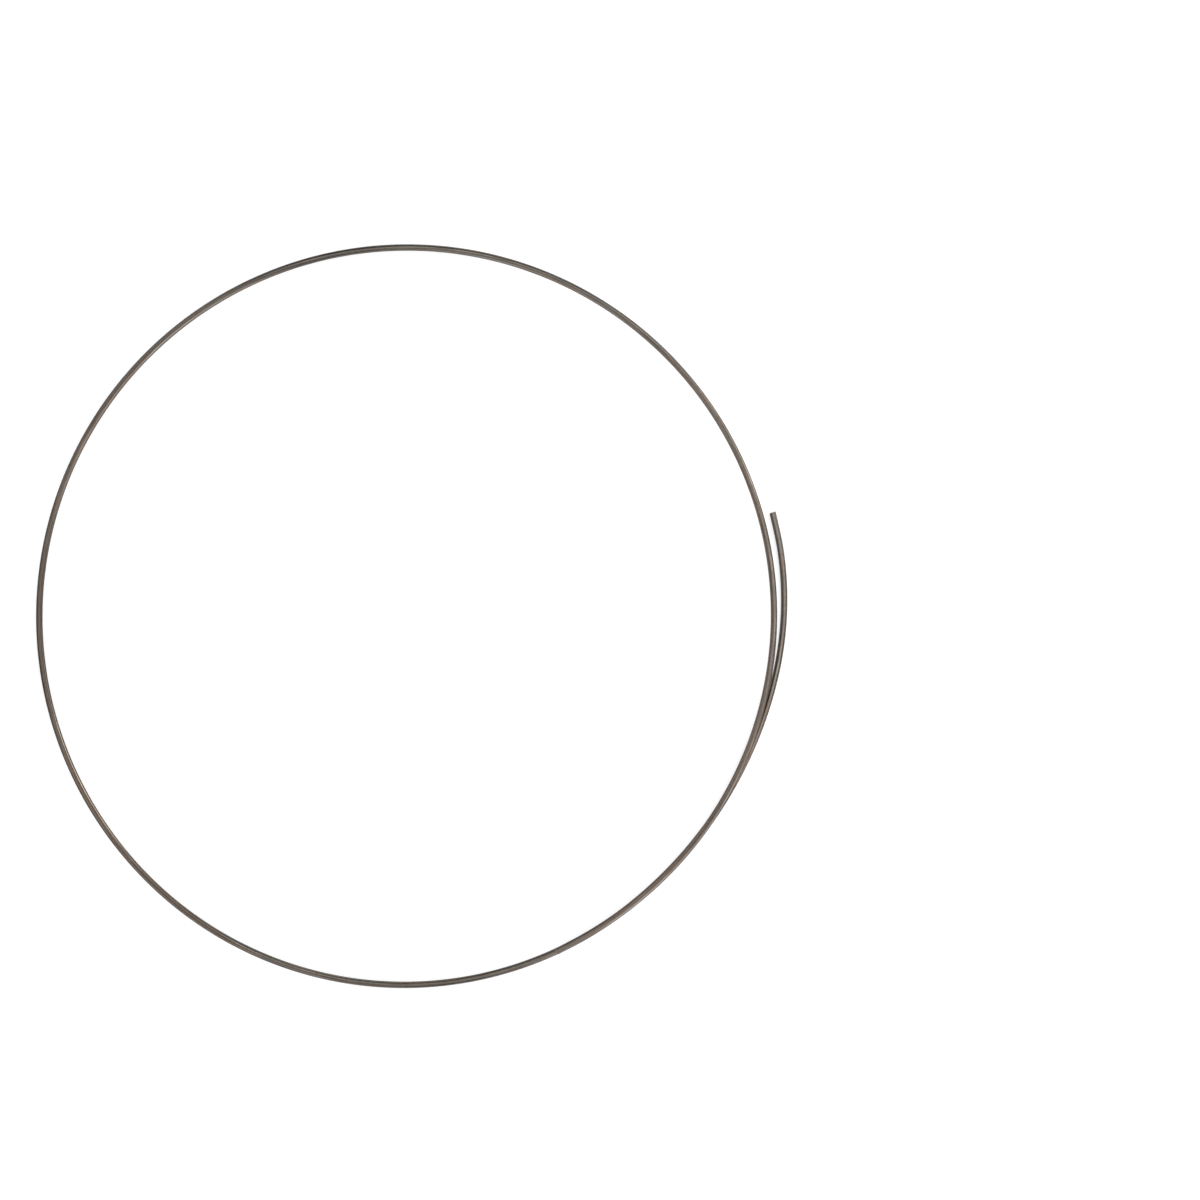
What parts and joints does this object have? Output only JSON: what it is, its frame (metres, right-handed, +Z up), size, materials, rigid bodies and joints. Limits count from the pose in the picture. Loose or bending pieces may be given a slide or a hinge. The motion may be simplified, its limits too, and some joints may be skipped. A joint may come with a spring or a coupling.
{
  "type": "coil of memory wire",
  "caption": "Hard round spring wire wound into a ring a little over one turn long, springing back to its size; end beads go on the cut ends to make a necklace.",
  "frame": {"origin": "on the floor, under the middle of the ring's bounding box", "axes": "+Z up out of the floor, +Y away from the viewer who looks down on the ring, +X to the right, the side where the free end stands clear of the ring"},
  "size_m": [0.1164, 0.1152, 0.002],
  "materials": {
    "wire_steel": "hard-drawn, dark gunmetal with a warm cast, semi-bright"
  },
  "bodies": {
    "root": {"wire": "wire_steel"}
  },
  "joints": []
}
